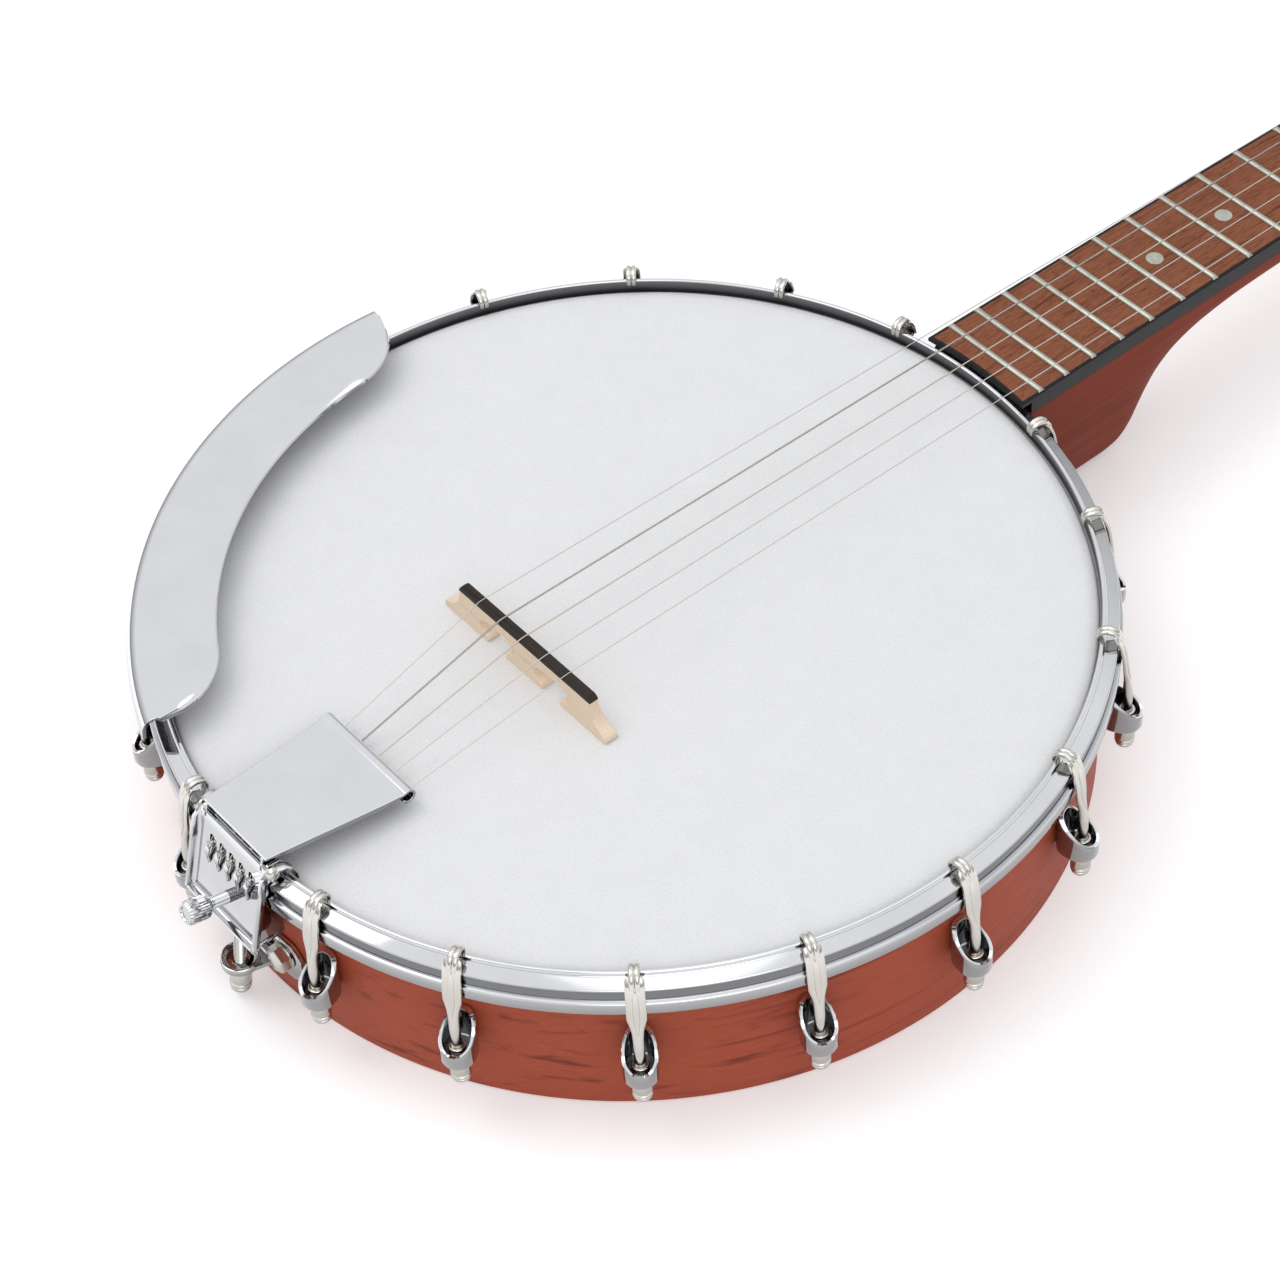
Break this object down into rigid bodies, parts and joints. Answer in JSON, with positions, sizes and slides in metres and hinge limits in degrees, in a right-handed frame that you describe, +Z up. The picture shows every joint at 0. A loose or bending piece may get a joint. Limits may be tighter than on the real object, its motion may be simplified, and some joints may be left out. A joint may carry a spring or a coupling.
{
  "type": "open-back five-string banjo",
  "caption": "Open-back banjo: wooden rim with bracket hooks, frosted head, metal armrest, hinged-cover tailpiece, fretted neck with a short fifth string and geared tuners.",
  "frame": {"origin": "on the plane of the rim's back, under the middle of the overall box", "axes": "+X along the neck towards the headstock, +Y towards the fifth string's side, +Z up out of the head"},
  "size_m": [0.9438, 0.3048, 0.07],
  "materials": {
    "stained_wood": "satin red-brown stain with faint grain",
    "tone_ring_brass": "turned",
    "frosted_head": "frosted white polyester film",
    "chrome_plate": "bright chrome plate",
    "nickel_plate": "polished nickel plate",
    "steel": "plain steel",
    "brown_board": "oiled open grain, with pale metal frets",
    "black_edge": "smooth black",
    "bone": "polished bone colour",
    "pearl_button": "pearl-like plastic",
    "maple": "pale unfinished maple",
    "ebony": "dark ebony"
  },
  "bodies": {
    "banjo": {"rim": "stained_wood", "neck": "stained_wood", "tone_ring": "tone_ring_brass", "head": "frosted_head", "tension_hoop": "chrome_plate", "armrest": "chrome_plate", "tailpiece_frame": "chrome_plate", "hanger_bracket": "chrome_plate", "fifth_peg_bushing": "chrome_plate", "tuner_1_housing": "chrome_plate", "tuner_2_housing": "chrome_plate", "tuner_3_housing": "chrome_plate", "tuner_4_housing": "chrome_plate", "bracket_01": "nickel_plate", "bracket_02": "nickel_plate", "bracket_03": "nickel_plate", "bracket_04": "nickel_plate", "bracket_05": "nickel_plate", "bracket_06": "nickel_plate", "bracket_07": "nickel_plate", "bracket_08": "nickel_plate", "bracket_09": "nickel_plate", "bracket_10": "nickel_plate", "bracket_11": "nickel_plate", "bracket_12": "nickel_plate", "bracket_13": "nickel_plate", "bracket_14": "nickel_plate", "bracket_15": "nickel_plate", "bracket_16": "nickel_plate", "bracket_17": "nickel_plate", "bracket_18": "nickel_plate", "tailpiece_pin": "nickel_plate", "tail_bolt": "nickel_plate", "hanger_screw_left": "nickel_plate", "hanger_screw_right": "nickel_plate", "coordinator_rod": "steel", "neck_bolt": "steel", "truss_rod": "steel", "string_1": "steel", "string_2": "steel", "string_3": "steel", "string_4": "steel", "string_5": "steel", "fingerboard": "brown_board", "fingerboard_binding": "black_edge", "truss_rod_cover": "black_edge", "nut": "bone", "bridge": "maple", "bridge_cap": "ebony"},
    "tuner_1_post": {"tuner_1_post": "chrome_plate"},
    "tuner_2_post": {"tuner_2_post": "chrome_plate"},
    "tuner_3_post": {"tuner_3_post": "chrome_plate"},
    "tuner_4_post": {"tuner_4_post": "chrome_plate"},
    "tuner_1_button": {"tuner_1_button": "pearl_button"},
    "tuner_2_button": {"tuner_2_button": "pearl_button"},
    "tuner_3_button": {"tuner_3_button": "pearl_button"},
    "tuner_4_button": {"tuner_4_button": "pearl_button"},
    "fifth_peg": {"fifth_peg": "pearl_button"},
    "thumbscrew": {"thumbscrew": "chrome_plate"},
    "tailpiece_cover": {"tailpiece_cover": "chrome_plate"}
  },
  "joints": [
    {"name": "tuner_1_button_turn", "type": "hinge", "parent": "banjo", "child": "tuner_1_button", "pos_m": [0.36721, 0.0146, 0.02172], "axis": [0, 1, 0], "continuous": true},
    {"name": "tuner_1_post_turn", "type": "hinge", "parent": "banjo", "child": "tuner_1_post", "pos_m": [0.36985, 0.0146, 0.04054], "axis": [0.1392, 0, 0.9903], "continuous": true},
    {"name": "tuner_2_button_turn", "type": "hinge", "parent": "banjo", "child": "tuner_2_button", "pos_m": [0.41969, 0.0106, 0.01435], "axis": [0, 1, 0], "continuous": true},
    {"name": "tuner_2_post_turn", "type": "hinge", "parent": "banjo", "child": "tuner_2_post", "pos_m": [0.42234, 0.0106, 0.03316], "axis": [0.1392, 0, 0.9903], "continuous": true},
    {"name": "tuner_3_button_turn", "type": "hinge", "parent": "banjo", "child": "tuner_3_button", "pos_m": [0.41969, -0.0154, 0.01435], "axis": [0, -1, 0], "continuous": true},
    {"name": "tuner_3_post_turn", "type": "hinge", "parent": "banjo", "child": "tuner_3_post", "pos_m": [0.42234, -0.0154, 0.03316], "axis": [0.1392, 0, 0.9903], "continuous": true},
    {"name": "tuner_4_button_turn", "type": "hinge", "parent": "banjo", "child": "tuner_4_button", "pos_m": [0.36721, -0.0194, 0.02172], "axis": [0, -1, 0], "continuous": true},
    {"name": "tuner_4_post_turn", "type": "hinge", "parent": "banjo", "child": "tuner_4_post", "pos_m": [0.36985, -0.0194, 0.04054], "axis": [0.1392, 0, 0.9903], "continuous": true},
    {"name": "fifth_peg_turn", "type": "hinge", "parent": "banjo", "child": "fifth_peg", "pos_m": [0.16399, 0.012, 0.0436], "axis": [0, 1, 0], "continuous": true},
    {"name": "thumbscrew_turn", "type": "hinge", "parent": "banjo", "child": "thumbscrew", "pos_m": [-0.45649, 0, 0.0425], "axis": [-0.9646, 0, 0.2637], "continuous": true},
    {"name": "tailpiece_cover_lift", "type": "hinge", "parent": "banjo", "child": "tailpiece_cover", "pos_m": [-0.44971, 0, 0.0625], "axis": [0, -1, 0], "range_deg": [0, 75]}
  ],
  "couplings": [
    {"joint": "tuner_1_post_turn", "follows": "tuner_1_button_turn", "ratio": 0.071429},
    {"joint": "tuner_2_post_turn", "follows": "tuner_2_button_turn", "ratio": 0.071429},
    {"joint": "tuner_3_post_turn", "follows": "tuner_3_button_turn", "ratio": -0.071429},
    {"joint": "tuner_4_post_turn", "follows": "tuner_4_button_turn", "ratio": -0.071429}
  ]
}
